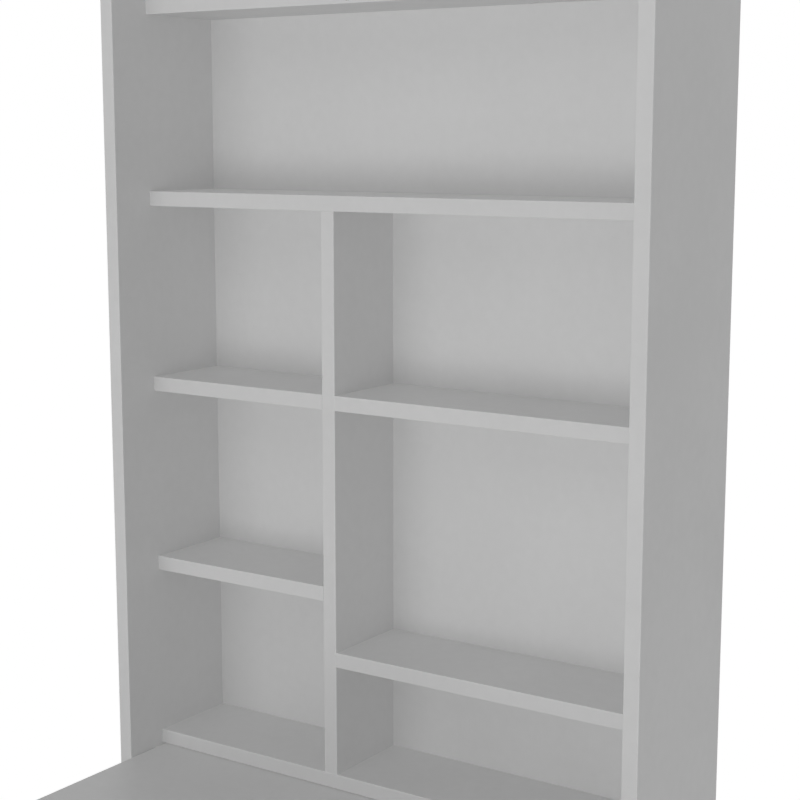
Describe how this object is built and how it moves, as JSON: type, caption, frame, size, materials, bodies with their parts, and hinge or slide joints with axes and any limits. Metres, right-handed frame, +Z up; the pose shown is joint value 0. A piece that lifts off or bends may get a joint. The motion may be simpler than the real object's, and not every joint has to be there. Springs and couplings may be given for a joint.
{
  "type": "fold down wall desk",
  "caption": "Wall cabinet with open compartments behind a fold down desk board, which swings on side pivots and stands on a folding leg frame with levelling feet.",
  "frame": {"origin": "on the wall plane, midway between the two screw holes of the wall cleat", "axes": "+X to the right of someone facing the desk, +Y into the wall, +Z up"},
  "size_m": [0.6, 0.928, 1.543],
  "materials": {
    "panel_lacquer": "satin light grey lacquer on wood board",
    "back_lacquer": "satin light grey lacquer on thin board",
    "cleat_ply": "bare sanded plywood",
    "dowel_beech": "bare beech",
    "zinc": "bright zinc plated",
    "pivot_steel": "ground steel",
    "nylon": "moulded nylon",
    "cap_plastic": "moulded plastic, grey",
    "foot_plastic": "moulded plastic, dark grey",
    "insert_brass": "turned brass",
    "magnet_nickel": "nickel plated",
    "felt": "pressed wool felt"
  },
  "bodies": {
    "cabinet": {"left_side_panel": "panel_lacquer", "right_side_panel": "panel_lacquer", "top_panel": "panel_lacquer", "bottom_shelf": "panel_lacquer", "full_width_shelf": "panel_lacquer", "vertical_divider": "panel_lacquer", "left_middle_shelf": "panel_lacquer", "left_lower_shelf": "panel_lacquer", "right_middle_shelf": "panel_lacquer", "right_lower_shelf": "panel_lacquer", "hanging_rail": "panel_lacquer", "lower_rail": "panel_lacquer", "back_panel": "back_lacquer", "wall_cleat": "cleat_ply", "shelf_dowels": "dowel_beech", "through_dowels": "dowel_beech", "cam_nuts": "zinc", "cam_bolts": "zinc", "back_panel_screws": "zinc", "cam_caps": "cap_plastic", "left_pivot_bush": "nylon", "right_pivot_bush": "nylon", "catch_magnets": "magnet_nickel", "desk_stop_pads": "felt"},
    "desk": {"desk_panel": "panel_lacquer", "desk_apron": "panel_lacquer", "left_pivot_pin": "pivot_steel", "right_pivot_pin": "pivot_steel", "strike_plates": "zinc", "strike_screws": "zinc", "apron_screws": "zinc", "left_leg_bracket": "zinc", "right_leg_bracket": "zinc", "bracket_screws": "zinc", "leg_pivot_bolts": "zinc", "leg_pivot_washers": "zinc", "leg_pivot_nuts": "zinc", "leg_rest_pads": "felt"},
    "leg_frame": {"left_leg_post": "panel_lacquer", "right_leg_post": "panel_lacquer", "leg_top_rail": "panel_lacquer", "leg_foot_rail": "panel_lacquer", "leg_dowels": "dowel_beech", "foot_inserts": "insert_brass"},
    "left_foot": {"left_levelling_foot": "foot_plastic"},
    "right_foot": {"right_levelling_foot": "foot_plastic"}
  },
  "joints": [
    {"name": "desk_fold", "type": "hinge", "parent": "cabinet", "child": "desk", "pos_m": [0, -0.1295, -0.6905], "axis": [-1, 0, 0], "range_deg": [0, 90]},
    {"name": "leg_fold", "type": "hinge", "parent": "desk", "child": "leg_frame", "pos_m": [0, -0.8955, -0.714], "axis": [1, 0, 0], "range_deg": [0, 90]},
    {"name": "left_foot_screw", "type": "slide", "parent": "leg_frame", "child": "left_foot", "axis": [0, 0, -1], "range_m": [-0.005, 0.008]},
    {"name": "right_foot_screw", "type": "slide", "parent": "leg_frame", "child": "right_foot", "axis": [0, 0, -1], "range_m": [-0.005, 0.008]}
  ]
}
